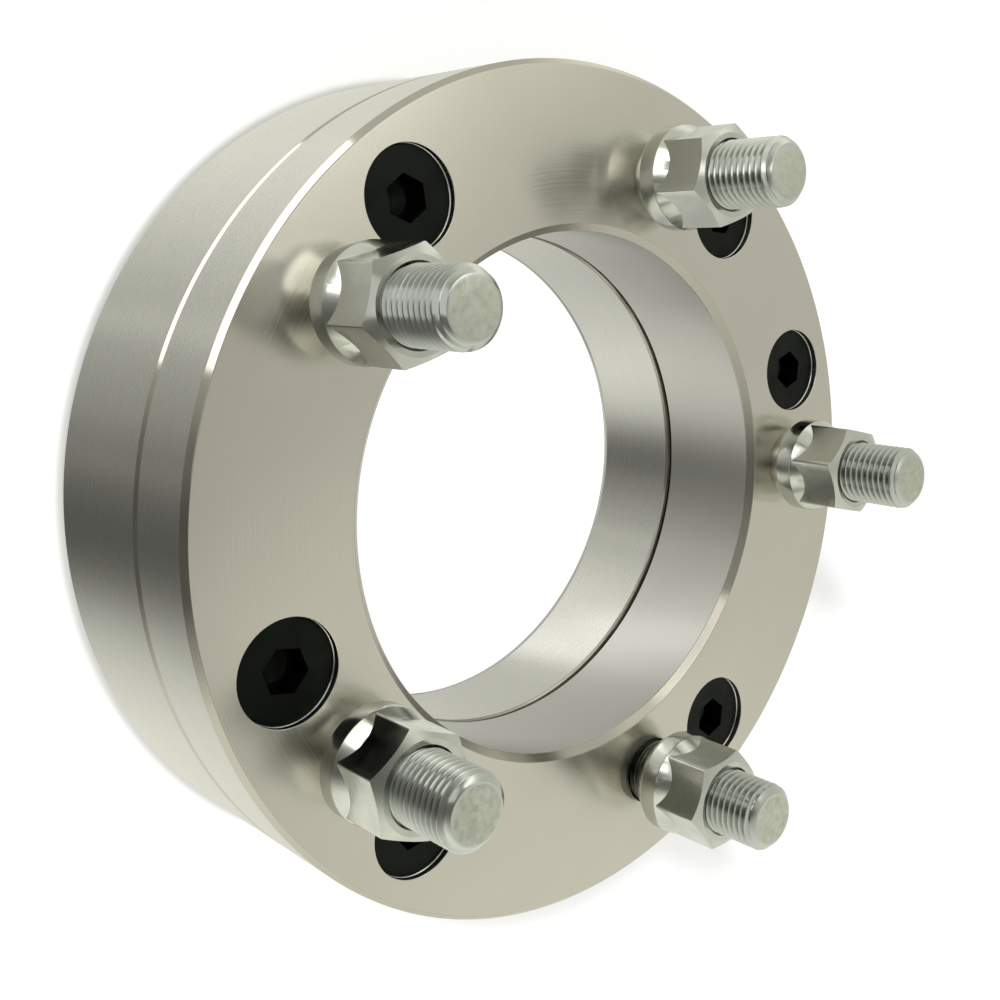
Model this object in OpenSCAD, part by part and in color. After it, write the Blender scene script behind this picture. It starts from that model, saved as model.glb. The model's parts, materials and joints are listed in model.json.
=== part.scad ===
// Two-piece wheel spacer. A hub plate and a wheel plate, both turned from aluminium bar, are held together by
// countersunk screws, and a spigot on the wheel plate centres it in a counterbore of the hub plate.
// Wheel studs are pressed into the wheel plate from behind and carry a lug nut each.
// The axis is Z, the face that meets the hub lies on z = 0 and the studs point up.

/* [Plates] */
// Outside diameter of both plates
outer_d = 177.8; // [172:0.1:220]
// Diameter of the central bore
bore_d = 110; // [60:0.5:111]
// Thickness of the hub plate
hub_plate_t = 33; // [28:0.1:60]
// Thickness of the wheel plate
wheel_plate_t = 17.8; // [14:0.1:30]
// Chamfer on the outer edges of the two end faces
edge_chamfer = 1; // [0.3:0.1:2]
// Chamfer on the bore's edge at the wheel face
bore_chamfer = 1.5; // [0.3:0.1:2.5]
// Chamfer on the bore's edge at the hub face
hub_bore_chamfer = 1; // [0.3:0.1:2]
// Broken edge of each plate where the two meet on the outside
seam_chamfer = 0.4; // [0.1:0.1:1]
// Outside diameter of the spigot on the wheel plate
spigot_d = 116; // [114:0.1:117]
// How far the spigot reaches into the hub plate
spigot_len = 9; // [4:0.1:14]
// Broken edge of each plate where the two meet in the bore
bore_seam_chamfer = 0.8; // [0.1:0.1:1.2]

/* [Hub side] */
// Circle on which the holes for the hub's studs lie
hub_circle_d = 139.7; // [138:0.1:142]
// Diameter of the holes for the hub's studs
hub_hole_d = 16.4; // [15.4:0.1:17]
// Diameter of the pockets that take the hub's nuts
nut_pocket_d = 26; // [24:0.1:26.4]
// Metal left between the hub face and the floor of a nut pocket
pocket_floor_t = 13; // [11:0.1:18]
// Diameter of the conical seat in the floor of a nut pocket
hub_seat_d = 22; // [18:0.1:23]
// Included angle of that seat
hub_seat_angle = 60; // [60:1:90]
// Chamfer at the mouth of a hub stud hole
hub_hole_chamfer = 0.6; // [0.2:0.1:1.5]

/* [Wheel studs] */
// Circle on which the wheel studs stand
stud_circle_d = 139.7; // [136:0.1:143]
// Outside diameter of the stud's thread
stud_thread_d = 14; // [13.6:0.1:14.4]
// Pitch of that thread
stud_pitch = 1.5; // [1.25:0.25:2]
// How far a stud stands out of the wheel face
stud_reach = 35; // [30:0.5:60]
// Chamfer at the free end of a stud
stud_end_chamfer = 1.55; // [0.5:0.05:2]
// Diameter of the knurl that is pressed into the plate
stud_knurl_d = 14.8; // [14.6:0.1:15]
// Length of the knurl
stud_knurl_len = 9; // [6:0.5:9.5]
// Diameter of the stud's head
stud_head_d = 21; // [18:0.1:22]
// Thickness of the stud's head
stud_head_t = 4; // [3:0.1:4.2]

/* [Lug nuts] */
// Width across the flats of a lug nut
nut_flats = 18.8; // [18:0.1:20]
// Height of a lug nut from its seat to its outer face
nut_height = 20.5; // [18:0.1:22]
// Diameter of the round collar below the hexagon
nut_collar_d = 21.9; // [21.8:0.1:23.4]
// Height at which the collar ends and the shoulder starts
nut_collar_top = 8.5; // [7:0.1:10]
// Height of the sloping shoulder between the collar and the flats
nut_shoulder_h = 3; // [2:0.1:4]
// Diameter of the narrow end of the conical seat
nut_seat_d = 15.4; // [15.2:0.1:17]
// Included angle of the conical seat
nut_seat_angle = 70; // [60:1:80]
// Diameter of the flat ring on the outer face
nut_face_d = 17; // [16:0.1:18]
// Diameter of the countersunk mouths of the thread
nut_mouth_d = 14.9; // [14.5:0.1:15.2]
// How far the first lug nut is backed off from its seat
nut_backed_off = 2.5; // [0:0.5:5]

/* [Screws] */
// Circle on which the countersunk screws lie
screw_circle_d = 147.6; // [146:0.1:149]
// Outside diameter of the screw's thread
screw_thread_d = 12; // [11:0.1:12.4]
// Pitch of that thread
screw_pitch = 1.75; // [1.25:0.25:2]
// Length of a screw with its head
screw_len = 35; // [30:0.5:36]
// Diameter of the screw's head
screw_head_d = 19.2; // [17:0.1:19.4]
// Height of the upright rim of the head
screw_rim_h = 0.3; // [0.1:0.1:0.6]
// How far the head lies below the wheel face
screw_sink = 1.3; // [1:0.1:2]
// Width across the flats of the socket
screw_key = 8; // [6:0.1:9]
// Depth of the socket
screw_key_depth = 5; // [3:0.1:6]
// Diameter of the countersink at the wheel face
countersink_d = 19.8; // [19.5:0.1:20.4]

/* [Clearances] */
// Gap between the spigot and its counterbore
spigot_gap = 0.05; // [0.02:0.01:0.1]
// Gap behind the end of the spigot
spigot_end_gap = 0.5; // [0.2:0.1:1]
// Gap between a pressed-in knurl and its hole
press_gap = 0.05; // [0.02:0.01:0.1]
// Gap between two threads at their pitch cylinder
thread_gap = 0.06; // [0.02:0.01:0.1]
// Gap around and behind a stud's head
head_gap = 0.25; // [0.1:0.05:0.5]
// Gap between a screw's shank and its hole
shank_gap = 0.75; // [0.3:0.05:1]
// Depth of a tapped hole past the end of its screw
tap_run_out = 3; // [1:0.5:6]

/* [Hidden] */
$fn = 96;
stud_count = 5;
screw_count = 6;
stud_step = 360 / stud_count;
// The hub's holes lie midway between the wheel studs
hub_hole_turn = stud_step / 2;
// The screws take six of the ten places midway between a wheel stud and a hub hole, alike on both sides of the axis
screw_places = [1, 5, 7];
screw_step = stud_step / 4;
// Each lug nut, and each screw's socket, is turned on its thread by chance
nut_turns = [21, 0, 31, 30, 52];
screw_turns = [34, 35, 9, 51, 3, 21];

face_z = hub_plate_t + wheel_plate_t;
outer_r = outer_d / 2;
bore_r = bore_d / 2;
spigot_r = spigot_d / 2;
spigot_z = hub_plate_t - spigot_len;
counterbore_r = spigot_r + spigot_gap;
counterbore_z = spigot_z - spigot_end_gap;
// Depth of a thread's pitch cylinder below its crests as a share of the pitch, for 60 degree flanks
pitch_depth_ratio = 0.3248;
stud_pitch_d = stud_thread_d - 2 * pitch_depth_ratio * stud_pitch;
screw_pitch_d = screw_thread_d - 2 * pitch_depth_ratio * screw_pitch;
nut_corners = nut_flats / cos(30);
nut_seat_h = (nut_collar_d - nut_seat_d) / 2 / tan(nut_seat_angle / 2);
nut_chamfer_angle = 30;
stud_head_z = hub_plate_t + head_gap;
stud_tip_z = face_z + stud_reach;
screw_top_z = face_z - screw_sink;
screw_end_z = screw_top_z - screw_len;
screw_cone_z = screw_top_z - screw_rim_h;
screw_shank_d = screw_thread_d;
screw_hole_d = screw_shank_d + 2 * shank_gap;
screw_end_chamfer = screw_pitch / 2;
// Upright wall above the countersink's cone, so that the head seats on the cone
countersink_wall = screw_sink + screw_rim_h - (countersink_d - screw_head_d) / 2;
tap_d = screw_pitch_d + 2 * thread_gap;
tap_mouth_d = screw_thread_d + 2 * seam_chamfer;
drill_point_angle = 118;
hub_seat_h = (hub_seat_d - hub_hole_d) / 2 / tan(hub_seat_angle / 2);
// Cuts run past the faces they open through by this much
past = 1;

aluminium = "#c3c1b6";
zinc = "#b9bcae";
black_oxide = "#1d1f1d";

function stud_angle(i) = (i - 1) * stud_step;
function screw_angle(i) = let (half = len(screw_places), k = i - 1)
    screw_step * screw_places[k % half] + 180 * floor(k / half);
function nut_z(i) = face_z + (i == 1 ? nut_backed_off : 0);

// Places its children on a circle about the axis
module at_circle(d, angle) {
    rotate(angle) translate([d / 2, 0, 0]) children();
}

// Solid of revolution about Z from a list of radius and height pairs
module turned(profile) {
    rotate_extrude() polygon(profile);
}

// Hub plate before drilling, with the counterbore for the spigot
module hub_blank() {
    turned([
        [bore_r, hub_bore_chamfer],
        [bore_r + hub_bore_chamfer, 0],
        [outer_r - edge_chamfer, 0],
        [outer_r, edge_chamfer],
        [outer_r, hub_plate_t - seam_chamfer],
        [outer_r - seam_chamfer, hub_plate_t],
        [counterbore_r + seam_chamfer, hub_plate_t],
        [counterbore_r, hub_plate_t - seam_chamfer],
        [counterbore_r, counterbore_z],
        [bore_r + bore_seam_chamfer, counterbore_z],
        [bore_r, counterbore_z - bore_seam_chamfer]
    ]);
}

// Wheel plate before drilling, with its spigot
module wheel_blank() {
    turned([
        [bore_r, spigot_z + bore_seam_chamfer],
        [bore_r + bore_seam_chamfer, spigot_z],
        [spigot_r - seam_chamfer, spigot_z],
        [spigot_r, spigot_z + seam_chamfer],
        [spigot_r, hub_plate_t],
        [outer_r - seam_chamfer, hub_plate_t],
        [outer_r, hub_plate_t + seam_chamfer],
        [outer_r, face_z - edge_chamfer],
        [outer_r - edge_chamfer, face_z],
        [bore_r + bore_chamfer, face_z],
        [bore_r, face_z - bore_chamfer]
    ]);
}

// Hole for one of the hub's studs, with the seat and pocket for its nut above
module hub_stud_cut() {
    hole_r = hub_hole_d / 2;
    turned([
        [0, -past],
        [hole_r + hub_hole_chamfer, -past],
        [hole_r + hub_hole_chamfer, 0],
        [hole_r, hub_hole_chamfer],
        [hole_r, pocket_floor_t - hub_seat_h],
        [hub_seat_d / 2, pocket_floor_t],
        [nut_pocket_d / 2, pocket_floor_t],
        [nut_pocket_d / 2, hub_plate_t + past],
        [0, hub_plate_t + past]
    ]);
}

// Tapped hole with a drill point and a broken mouth
module tapped_cut() {
    end_z = screw_end_z - tap_run_out;
    mouth_z = hub_plate_t - (tap_mouth_d - tap_d) / 2;
    turned([
        [0, end_z - tap_d / 2 / tan(drill_point_angle / 2)],
        [tap_d / 2, end_z],
        [tap_d / 2, mouth_z],
        [tap_mouth_d / 2, hub_plate_t],
        [tap_mouth_d / 2, hub_plate_t + past],
        [0, hub_plate_t + past]
    ]);
}

// Hole for the knurl of a wheel stud, with a recess behind it for the head
module stud_cut() {
    hole_r = stud_knurl_d / 2 + press_gap;
    recess_r = stud_head_d / 2 + head_gap;
    recess_z = stud_head_z + stud_head_t;
    turned([
        [0, hub_plate_t - past],
        [recess_r, hub_plate_t - past],
        [recess_r, recess_z],
        [hole_r, recess_z],
        [hole_r, face_z + past],
        [0, face_z + past]
    ]);
}

// Relief in the spigot where it would reach into a nut pocket
module pocket_relief() {
    translate([0, 0, spigot_z - past]) cylinder(d = nut_pocket_d, h = spigot_len + past);
}

// Countersunk hole for a screw, with a short upright wall at its mouth
module countersunk_cut() {
    hole_r = screw_hole_d / 2;
    sink_r = countersink_d / 2;
    cone_z = face_z - countersink_wall;
    turned([
        [0, hub_plate_t - past],
        [hole_r, hub_plate_t - past],
        [hole_r, cone_z - (sink_r - hole_r)],
        [sink_r, cone_z],
        [sink_r, face_z + past],
        [0, face_z + past]
    ]);
}

module hub_plate() {
    color(aluminium) difference() {
        hub_blank();
        for (i = [1:stud_count]) at_circle(hub_circle_d, stud_angle(i) + hub_hole_turn) hub_stud_cut();
        for (i = [1:screw_count]) at_circle(screw_circle_d, screw_angle(i)) tapped_cut();
    }
}

module wheel_plate() {
    color(aluminium) difference() {
        wheel_blank();
        for (i = [1:stud_count]) at_circle(hub_circle_d, stud_angle(i) + hub_hole_turn) pocket_relief();
        for (i = [1:stud_count]) at_circle(stud_circle_d, stud_angle(i)) stud_cut();
        for (i = [1:screw_count]) at_circle(screw_circle_d, screw_angle(i)) countersunk_cut();
    }
}

// Headed stud: where its nut sits the thread is drawn at its pitch cylinder, and past the nut at its crests
module wheel_stud(i) {
    head_top = stud_head_z + stud_head_t;
    free_z = nut_z(i) + nut_height;
    color(zinc) at_circle(stud_circle_d, stud_angle(i)) turned([
        [0, stud_head_z],
        [stud_head_d / 2, stud_head_z],
        [stud_head_d / 2, head_top],
        [stud_knurl_d / 2, head_top],
        [stud_knurl_d / 2, head_top + stud_knurl_len],
        [stud_pitch_d / 2, head_top + stud_knurl_len],
        [stud_pitch_d / 2, free_z],
        [stud_thread_d / 2, free_z],
        [stud_thread_d / 2, stud_tip_z - stud_end_chamfer],
        [stud_thread_d / 2 - stud_end_chamfer, stud_tip_z],
        [0, stud_tip_z]
    ]);
}

// Seat cone, collar and shoulder of a lug nut, from its seat at zero
module nut_collar() {
    turned([
        [0, 0],
        [nut_seat_d / 2, 0],
        [nut_collar_d / 2, nut_seat_h],
        [nut_collar_d / 2, nut_collar_top],
        [nut_flats / 2, nut_collar_top + nut_shoulder_h],
        [0, nut_collar_top + nut_shoulder_h]
    ]);
}

// Hexagon of a lug nut, chamfered at its outer face
module nut_hexagon() {
    drop = (nut_collar_d - nut_face_d) / 2 * tan(nut_chamfer_angle);
    intersection() {
        translate([0, 0, nut_seat_h]) cylinder(d = nut_corners, h = nut_height - nut_seat_h, $fn = 6);
        turned([
            [0, 0],
            [nut_collar_d / 2, 0],
            [nut_collar_d / 2, nut_height - drop],
            [nut_face_d / 2, nut_height],
            [0, nut_height]
        ]);
    }
}

// Threaded hole of a lug nut with a countersunk mouth at both ends
module nut_bore() {
    bore = stud_pitch_d / 2 + thread_gap;
    mouth = nut_mouth_d / 2;
    turned([
        [0, -past],
        [mouth, -past],
        [mouth, 0],
        [bore, mouth - bore],
        [bore, nut_height - (mouth - bore)],
        [mouth, nut_height],
        [mouth, nut_height + past],
        [0, nut_height + past]
    ]);
}

module lug_nut(i) {
    color(zinc) at_circle(stud_circle_d, stud_angle(i)) translate([0, 0, nut_z(i)]) difference() {
        union() {
            nut_collar();
            rotate(nut_turns[i - 1] - stud_angle(i)) nut_hexagon();
        }
        nut_bore();
    }
}

// Countersunk socket screw: below the seam its thread is drawn at its pitch cylinder
module screw(i) {
    cone_h = (screw_head_d - screw_shank_d) / 2;
    socket_floor = screw_top_z - screw_key_depth;
    color(black_oxide) at_circle(screw_circle_d, screw_angle(i)) difference() {
        turned([
            [0, screw_end_z],
            [screw_pitch_d / 2 - screw_end_chamfer, screw_end_z],
            [screw_pitch_d / 2, screw_end_z + screw_end_chamfer],
            [screw_pitch_d / 2, hub_plate_t],
            [screw_shank_d / 2, hub_plate_t],
            [screw_shank_d / 2, screw_cone_z - cone_h],
            [screw_head_d / 2, screw_cone_z],
            [screw_head_d / 2, screw_top_z],
            [0, screw_top_z]
        ]);
        rotate(screw_turns[i - 1] - screw_angle(i)) translate([0, 0, socket_floor])
            cylinder(d = screw_key / cos(30), h = screw_key_depth + past, $fn = 6);
    }
}

hub_plate();
wheel_plate();
for (i = [1:stud_count]) {
    wheel_stud(i);
    lug_nut(i);
}
for (i = [1:screw_count]) {
    screw(i);
}
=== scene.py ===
"""Two-piece wheel spacer of turned aluminium, with plated studs and nuts and black screws, in a studio."""
import json
import logging
import math
from dataclasses import dataclass
from enum import Enum, IntEnum
from typing import Any, Callable, Iterable, Sequence

import bmesh
import bpy
from mathutils import Euler, Matrix, Vector


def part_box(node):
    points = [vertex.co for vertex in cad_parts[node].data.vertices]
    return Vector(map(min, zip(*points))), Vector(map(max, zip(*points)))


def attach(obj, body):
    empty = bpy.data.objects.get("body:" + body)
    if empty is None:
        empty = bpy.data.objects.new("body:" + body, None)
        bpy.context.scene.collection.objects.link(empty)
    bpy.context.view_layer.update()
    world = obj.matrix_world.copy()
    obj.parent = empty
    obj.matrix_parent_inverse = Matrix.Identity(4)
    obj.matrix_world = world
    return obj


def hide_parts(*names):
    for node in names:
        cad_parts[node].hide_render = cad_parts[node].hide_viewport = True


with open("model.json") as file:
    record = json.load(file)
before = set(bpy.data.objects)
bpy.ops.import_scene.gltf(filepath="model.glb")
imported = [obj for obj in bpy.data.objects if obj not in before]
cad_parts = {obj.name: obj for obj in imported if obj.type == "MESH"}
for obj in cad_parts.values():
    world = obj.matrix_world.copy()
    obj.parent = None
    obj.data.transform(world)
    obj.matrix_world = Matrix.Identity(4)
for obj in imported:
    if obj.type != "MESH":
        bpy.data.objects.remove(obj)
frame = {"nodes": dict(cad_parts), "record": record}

LOG = logging.getLogger("wheel_spacer")
MM = 0.001
BODY = "root"
# Points closer than this are one point, in metres
WELD = 1e-6
# Name of the vertex attribute that carries painted shade, from 0 for none, as on a thread's crests, to 1 for
# darkest
GROOVE_SHADE = "groove"
# Depth of a metric thread, as a share of its pitch
THREAD_DEPTH = 0.6134
# Values between which nearly all of a noise texture lies
NOISE_SPAN = (0.3, 0.7)
# Share of a turn that draws highlights out across a lathe's rings
ACROSS = 0.25
WHITE = "#ffffff"

Shape = bmesh.types.BMesh
Piece = bpy.types.Object
Tree = bpy.types.NodeTree
Socket = bpy.types.NodeSocket
Pair = tuple[float, float]
Triple = tuple[float, float, float]
Colour = tuple[float, float, float, float]
Profile = Sequence[Pair]
Levels = tuple[Pair, ...]


class Cut(Enum):
    """How one closed shape is worked with another."""

    CARVE = "DIFFERENCE"
    KEEP = "INTERSECT"
    JOIN = "UNION"


class Slot(Enum):
    """The record's material slots."""

    PLATE = "plate_aluminium"
    STUD = "stud_zinc"
    NUT = "nut_zinc"
    SCREW = "screw_black"


class Skin(IntEnum):
    """The finishes of a plate, in slot order."""

    FACE = 0
    RIM = 1
    BORE = 2
    EDGE = 3
    DRILLED = 4
    JOINT = 5


def to_linear(colour: str) -> Colour:
    """Turn an sRGB hex colour to linear values with full alpha.

    Args:
        colour: A colour such as "#c8c6bc".

    Returns:
        Red, green, blue and alpha.
    """
    parts = [int(colour[i:i + 2], 16) / 255 for i in (1, 3, 5)]
    lin = [p / 12.92 if p <= 0.04045 else ((p + 0.055) / 1.055) ** 2.4 for p in parts]
    return (lin[0], lin[1], lin[2], 1.0)


def add_node(tree: Tree, kind: str, inputs: dict[Any, Any] | None = None, **settings: Any) -> bpy.types.Node:
    """Add one shader node with its settings, values and links.

    Args:
        tree: The node tree to add to.
        kind: The node's type name.
        inputs: Input names or numbers, each with a value or with the socket to link to it.
        **settings: Attributes of the node.

    Returns:
        The new node.
    """
    node = tree.nodes.new(kind)
    for key, value in settings.items():
        setattr(node, key, value)
    for key, value in (inputs or {}).items():
        if isinstance(value, Socket):
            tree.links.new(value, node.inputs[key])
        else:
            node.inputs[key].default_value = value
    return node


def worked_out(tree: Tree, operation: str, *values: Any) -> Socket:
    """Work out a number from numbers or sockets with one math node, and give its socket."""
    return add_node(tree, "ShaderNodeMath", dict(enumerate(values)), operation=operation).outputs[0]


def mixed(tree: Tree, share: Any, first: Any, second: Any) -> Socket:
    """Mix two colours, or sockets of colours, by a share of the second, and give the mix's socket."""
    return add_node(tree, "ShaderNodeMix", {0: share, 6: first, 7: second}, data_type="RGBA").outputs[2]


def ranged(tree: Tree, value: Socket, span: Pair, result: Pair = (0.0, 1.0), smooth: bool = False) -> Socket:
    """Turn one range of values into another, and stop at its ends.

    Args:
        tree: The node tree to add to.
        value: The value to turn.
        span: The range that it comes from.
        result: The range that it goes to.
        smooth: Whether it goes slowly near the ends.

    Returns:
        The new value's socket.
    """
    node = add_node(tree, "ShaderNodeMapRange",
                    {"Value": value, "From Min": span[0], "From Max": span[1], "To Min": result[0],
                     "To Max": result[1]}, interpolation_type="SMOOTHSTEP" if smooth else "LINEAR")
    return node.outputs[0]


def noise(tree: Tree, place: Socket, size_mm: float, detail: float = 3.0, roughness: float = 0.5) -> Socket:
    """Add a noise texture of a size in millimetres, and give its socket."""
    inputs = {"Vector": place, "Scale": 1 / (size_mm * MM), "Detail": detail, "Roughness": roughness}
    return add_node(tree, "ShaderNodeTexNoise", inputs).outputs["Fac"]


def clouded(tree: Tree, share: Socket, colour: str, dark_share: float) -> Socket:
    """Let a hex colour go over into a darker share of it, and give the mix's socket."""
    light = to_linear(colour)
    return mixed(tree, share, light, tuple(dark_share * c for c in light[:3]) + (1.0,))


def skin_metal(tree: Tree, relief: Socket, inputs: dict[str, Any]) -> None:
    """Make the surface of a metal.

    Args:
        tree: The node tree to add to.
        relief: Height of its relief in millimetres.
        inputs: The other inputs of its shader.
    """
    bump = add_node(tree, "ShaderNodeBump", {"Height": relief, "Strength": 1.0, "Distance": MM})
    shader = add_node(tree, "ShaderNodeBsdfPrincipled", {"Metallic": 1.0, "Normal": bump.outputs[0], **inputs})
    add_node(tree, "ShaderNodeOutputMaterial", {"Surface": shader.outputs[0]})


def new_material(name: str) -> tuple[bpy.types.Material, Tree]:
    """Make an empty node material.

    Args:
        name: The material's name.

    Returns:
        The material and its node tree.
    """
    material = bpy.data.materials.new(name)
    material.use_nodes = True
    material.node_tree.nodes.clear()
    return material, material.node_tree


def close_shape(shape: Shape) -> None:
    """Weld a shape's seams and poles and turn its faces outwards."""
    bmesh.ops.remove_doubles(shape, verts=shape.verts[:], dist=WELD)
    bmesh.ops.recalc_face_normals(shape, faces=shape.faces[:])


def turned(profile: Profile, segments: int = 128, rounding: float = 0.0) -> Shape:
    """Turn a profile about the Z axis, as on a lathe.

    Args:
        profile: Radius and height pairs in millimetres, in order round the section. A profile whose first and
            last points lie on the axis is a solid, and any other is closed to a ring.
        segments: Steps in the full turn.
        rounding: How far each corner off the axis is broken, in millimetres.

    Returns:
        The closed shape, in metres.
    """
    shape = bmesh.new()
    verts = [shape.verts.new((r * MM, 0.0, z * MM)) for r, z in profile]
    on_axis = profile[0][0] == 0 and profile[-1][0] == 0
    ends = verts[1:] if on_axis else verts[1:] + verts[:1]
    for first, second in zip(verts, ends):
        shape.edges.new((first, second))
    if rounding:
        corners = [v for v in verts if v.co.x > 0]
        bmesh.ops.bevel(shape, geom=corners, offset=rounding * MM, offset_type="OFFSET", affect="VERTICES",
                        segments=2, profile=0.5, material=-1)
    bmesh.ops.spin(shape, geom=shape.verts[:] + shape.edges[:], cent=(0, 0, 0), axis=(0, 0, 1),
                   dvec=(0, 0, 0), angle=math.tau, steps=segments, use_merge=True)
    close_shape(shape)
    return shape


def hexagon_bar(flats: float, low: float, high: float, rounding: float = 0.0) -> Shape:
    """Make a hexagon bar about the Z axis, with a corner towards +X.

    Args:
        flats: Width across the flats in millimetres.
        low: Height of its lower end in millimetres.
        high: Height of its upper end in millimetres.
        rounding: How far the upright edges are rounded, in millimetres.

    Returns:
        The closed shape, in metres.
    """
    shape = bmesh.new()
    corner_r = flats / 2 / math.cos(math.pi / 6) * MM
    foot = Matrix.Translation((0, 0, low * MM)) @ Matrix.Rotation(math.pi / 6, 4, "Z")
    ring = bmesh.ops.create_circle(shape, cap_ends=True, segments=6, radius=corner_r, matrix=foot)
    first = max(ring["verts"], key=lambda v: v.co.x)
    turn = -math.atan2(first.co.y, first.co.x)
    bmesh.ops.rotate(shape, verts=shape.verts[:], cent=(0, 0, 0), matrix=Matrix.Rotation(turn, 3, "Z"))
    lifted = bmesh.ops.extrude_face_region(shape, geom=shape.faces[:])
    tops = [v for v in lifted["geom"] if isinstance(v, bmesh.types.BMVert)]
    bmesh.ops.translate(shape, verts=tops, vec=(0, 0, (high - low) * MM))
    if rounding:
        upright = [e for e in shape.edges if abs(e.verts[0].co.z - e.verts[1].co.z) > WELD]
        bmesh.ops.bevel(shape, geom=upright, offset=rounding * MM, offset_type="OFFSET", affect="EDGES",
                        segments=3, profile=0.5, material=-1)
    close_shape(shape)
    return shape


def threaded_bar(crest_r: float, pitch: float, low: float, high: float, steps: int = 72) -> Shape:
    """Make a bar with a right-hand metric thread about the Z axis.

    Args:
        crest_r: Radius of the thread's crests in millimetres.
        pitch: Rise of the thread in a turn, in millimetres.
        low: Height of its lower end in millimetres.
        high: Height of its upper end in millimetres.
        steps: Steps in a turn.

    Returns:
        The closed shape, in metres.
    """
    shape = bmesh.new()
    root_r = crest_r - THREAD_DEPTH * pitch
    first_z = math.floor(low / pitch - 1) * pitch
    turns = math.ceil((high - first_z) / pitch) + 1
    # Shares of the pitch: a rounded root, a flank, a narrow rounded crest and a flank
    section = ((0.0, root_r), (0.18, root_r), (0.27, root_r + 0.09 * pitch),
               (0.54, crest_r - 0.05 * pitch), (0.58, crest_r), (0.68, crest_r),
               (0.72, crest_r - 0.05 * pitch), (0.95, root_r + 0.06 * pitch), (1.0, root_r))
    verts = [shape.verts.new((r * MM, 0.0, (first_z + share * pitch) * MM)) for share, r in section]
    for pair in zip(verts, verts[1:]):
        shape.edges.new(pair)
    bmesh.ops.spin(shape, geom=shape.verts[:] + shape.edges[:], cent=(0, 0, 0), axis=(0, 0, 1),
                   dvec=(0, 0, pitch / steps * MM), angle=math.tau * turns, steps=steps * turns,
                   use_merge=False)
    bmesh.ops.remove_doubles(shape, verts=shape.verts[:], dist=WELD)
    for height, below in ((low, True), (high, False)):
        bmesh.ops.bisect_plane(shape, geom=shape.verts[:] + shape.edges[:] + shape.faces[:], dist=WELD / 10,
                               plane_co=(0, 0, height * MM), plane_no=(0, 0, 1), clear_inner=below,
                               clear_outer=not below)
    bmesh.ops.holes_fill(shape, edges=[e for e in shape.edges if e.is_boundary], sides=0)
    close_shape(shape)
    return shape


def as_piece(name: str, shape: Shape) -> Piece:
    """Turn a shape into an object of the scene and free the shape.

    Args:
        name: The object's name.
        shape: The shape.

    Returns:
        The object, at the origin.
    """
    mesh = bpy.data.meshes.new(name)
    shape.to_mesh(mesh)
    shape.free()
    piece = bpy.data.objects.new(name, mesh)
    bpy.context.scene.collection.objects.link(piece)
    return piece


def gathered(shapes: Iterable[tuple[Shape, Matrix]]) -> Shape:
    """Put several shapes into one, each moved to its place.

    Args:
        shapes: Pairs of a shape, which is freed, and the matrix that places it.

    Returns:
        One shape that holds them all.
    """
    whole = bmesh.new()
    for shape, place in shapes:
        bmesh.ops.transform(shape, matrix=place, verts=shape.verts[:])
        part = bpy.data.meshes.new("part")
        shape.to_mesh(part)
        shape.free()
        whole.from_mesh(part)
        bpy.data.meshes.remove(part)
    return whole


def work(piece: Piece, tool_shape: Shape, cut: Cut) -> None:
    """Carve, keep or join a piece with a tool shape, which is used up.

    Args:
        piece: The piece to change.
        tool_shape: The closed shape to work it with.
        cut: What is done.
    """
    tool = as_piece("tool", tool_shape)
    step = piece.modifiers.new(cut.name, "BOOLEAN")
    step.operation = cut.value
    step.solver = "EXACT"
    step.object = tool
    bpy.context.view_layer.update()
    done = bpy.data.meshes.new_from_object(piece.evaluated_get(bpy.context.evaluated_depsgraph_get()))
    piece.modifiers.clear()
    rough = piece.data
    piece.data = done
    tool_mesh = tool.data
    bpy.data.objects.remove(tool)
    bpy.data.meshes.remove(tool_mesh)
    bpy.data.meshes.remove(rough)


def mark_groove_shade(piece: Piece, depth: Callable[[float, float], float]) -> None:
    """Note on each vertex how much painted shade it gets, from how deep it lies in a groove.

    Args:
        piece: A piece about the Z axis.
        depth: Gives the share of painted shade at a radius and a height in millimetres, from 0 for none to 1
            for darkest.
    """
    marks = piece.data.attributes.new(GROOVE_SHADE, "FLOAT", "POINT")
    marks.data.foreach_set("value", [min(1.0, max(0.0, depth(v.co.xy.length / MM, v.co.z / MM)))
                                     for v in piece.data.vertices])


def shade(piece: Piece, sharp_deg: float = 18.0) -> None:
    """Shade a piece smooth, with its edges sharp where its faces turn by more than an angle."""
    piece.data.shade_smooth()
    piece.data.set_sharp_from_angle(angle=math.radians(sharp_deg))


def hand_in(piece: Piece, node: str, slot: Slot) -> None:
    """Let a piece stand for a CAD node and move with it.

    Args:
        piece: The finished piece.
        node: The CAD node that it replaces.
        slot: The record's material slot; not used.
    """
    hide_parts(node)
    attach(piece, BODY)
    LOG.info("%s: %d faces", piece.name, len(piece.data.polygons))


@dataclass(frozen=True)
class Layout:
    """Places that the pieces share, in millimetres, read from the frame."""

    rim_r: float
    bore_r: float
    seam_z: float
    face_z: float
    hub_hole_r: float
    hub_circle_r: float
    stud_r: float

    @classmethod
    def read(cls) -> "Layout":
        """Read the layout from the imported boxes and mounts.

        Returns:
            The layout.
        """
        low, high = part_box("hub_plate")
        mounts = {m["name"]: m["dims"] for m in frame["record"]["mounts"]}
        return cls(
            rim_r=max(high[0] - low[0], high[1] - low[1]) / 2 / MM,
            bore_r=mounts["hub_bore"]["r_mm"],
            seam_z=high[2] / MM,
            face_z=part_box("wheel_plate")[1][2] / MM,
            hub_hole_r=mounts["hub_stud_holes"]["hole_r_mm"],
            hub_circle_r=mounts["hub_stud_holes"]["pcd_mm"] / 2,
            stud_r=mounts["wheel_studs"]["stud_r_mm"],
        )


def place_of(node: str) -> Vector:
    """Middle of the foot of a CAD node's box, in metres."""
    low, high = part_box(node)
    return Vector(((low[0] + high[0]) / 2, (low[1] + high[1]) / 2, low[2]))


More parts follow.
